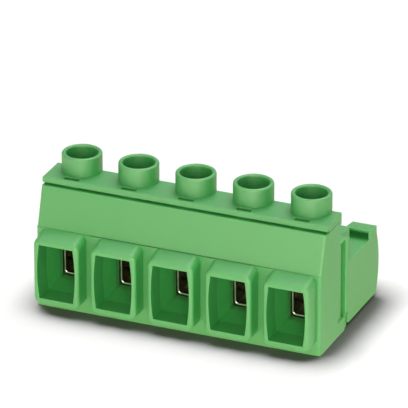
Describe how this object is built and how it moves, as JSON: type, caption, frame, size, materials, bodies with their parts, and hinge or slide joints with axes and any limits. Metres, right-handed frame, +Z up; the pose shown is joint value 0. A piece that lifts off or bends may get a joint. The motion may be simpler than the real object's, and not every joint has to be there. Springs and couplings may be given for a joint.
{
  "type": "pluggable terminal block plug",
  "caption": "Wire-side plug of a pluggable terminal block: green moulded housing with wire funnels, screwdriver chimneys over screw-driven tension sleeves, and pin sockets at the back.",
  "frame": {"origin": "on the underside, in the middle of the overall width and depth", "axes": "+X along the row of poles, +Y towards the pin sockets, +Z up along the screws"},
  "size_m": [0.0378, 0.0218, 0.019],
  "materials": {
    "housing_plastic": "moulded, fine satin",
    "cover_plastic": "moulded, fine satin",
    "screw_steel": "zinc plated",
    "sleeve_metal": "nickel plated",
    "contact_metal": "tin plated copper alloy",
    "spring_steel": "bright rolled strip"
  },
  "bodies": {
    "housing": {"housing": "housing_plastic", "screw_cover": "cover_plastic", "contact_1": "contact_metal", "contact_2": "contact_metal", "contact_3": "contact_metal", "contact_4": "contact_metal", "contact_5": "contact_metal", "contact_spring_1": "spring_steel", "contact_spring_2": "spring_steel", "contact_spring_3": "spring_steel", "contact_spring_4": "spring_steel", "contact_spring_5": "spring_steel"},
    "screw_1": {"clamp_screw_1": "screw_steel"},
    "sleeve_1": {"tension_sleeve_1": "sleeve_metal"},
    "screw_2": {"clamp_screw_2": "screw_steel"},
    "sleeve_2": {"tension_sleeve_2": "sleeve_metal"},
    "screw_3": {"clamp_screw_3": "screw_steel"},
    "sleeve_3": {"tension_sleeve_3": "sleeve_metal"},
    "screw_4": {"clamp_screw_4": "screw_steel"},
    "sleeve_4": {"tension_sleeve_4": "sleeve_metal"},
    "screw_5": {"clamp_screw_5": "screw_steel"},
    "sleeve_5": {"tension_sleeve_5": "sleeve_metal"}
  },
  "joints": [
    {"name": "sleeve_lift_1", "type": "slide", "parent": "housing", "child": "sleeve_1", "axis": [0, 0, 1], "range_m": [0, 0.0022]},
    {"name": "screw_turn_1", "type": "hinge", "parent": "housing", "child": "screw_1", "pos_m": [-0.01524, -0.00266, 0.0118], "axis": [0, 0, -1], "range_deg": [0, 1584]},
    {"name": "sleeve_lift_2", "type": "slide", "parent": "housing", "child": "sleeve_2", "axis": [0, 0, 1], "range_m": [0, 0.0022]},
    {"name": "screw_turn_2", "type": "hinge", "parent": "housing", "child": "screw_2", "pos_m": [-0.00762, -0.00266, 0.0118], "axis": [0, 0, -1], "range_deg": [0, 1584]},
    {"name": "sleeve_lift_3", "type": "slide", "parent": "housing", "child": "sleeve_3", "axis": [0, 0, 1], "range_m": [0, 0.0022]},
    {"name": "screw_turn_3", "type": "hinge", "parent": "housing", "child": "screw_3", "pos_m": [0, -0.00266, 0.0118], "axis": [0, 0, -1], "range_deg": [0, 1584]},
    {"name": "sleeve_lift_4", "type": "slide", "parent": "housing", "child": "sleeve_4", "axis": [0, 0, 1], "range_m": [0, 0.0022]},
    {"name": "screw_turn_4", "type": "hinge", "parent": "housing", "child": "screw_4", "pos_m": [0.00762, -0.00266, 0.0118], "axis": [0, 0, -1], "range_deg": [0, 1584]},
    {"name": "sleeve_lift_5", "type": "slide", "parent": "housing", "child": "sleeve_5", "axis": [0, 0, 1], "range_m": [0, 0.0022]},
    {"name": "screw_turn_5", "type": "hinge", "parent": "housing", "child": "screw_5", "pos_m": [0.01524, -0.00266, 0.0118], "axis": [0, 0, -1], "range_deg": [0, 1584]}
  ],
  "couplings": [
    {"joint": "screw_turn_1", "follows": "sleeve_lift_1", "rad_per_m": 12566},
    {"joint": "screw_turn_2", "follows": "sleeve_lift_2", "rad_per_m": 12566},
    {"joint": "screw_turn_3", "follows": "sleeve_lift_3", "rad_per_m": 12566},
    {"joint": "screw_turn_4", "follows": "sleeve_lift_4", "rad_per_m": 12566},
    {"joint": "screw_turn_5", "follows": "sleeve_lift_5", "rad_per_m": 12566}
  ]
}
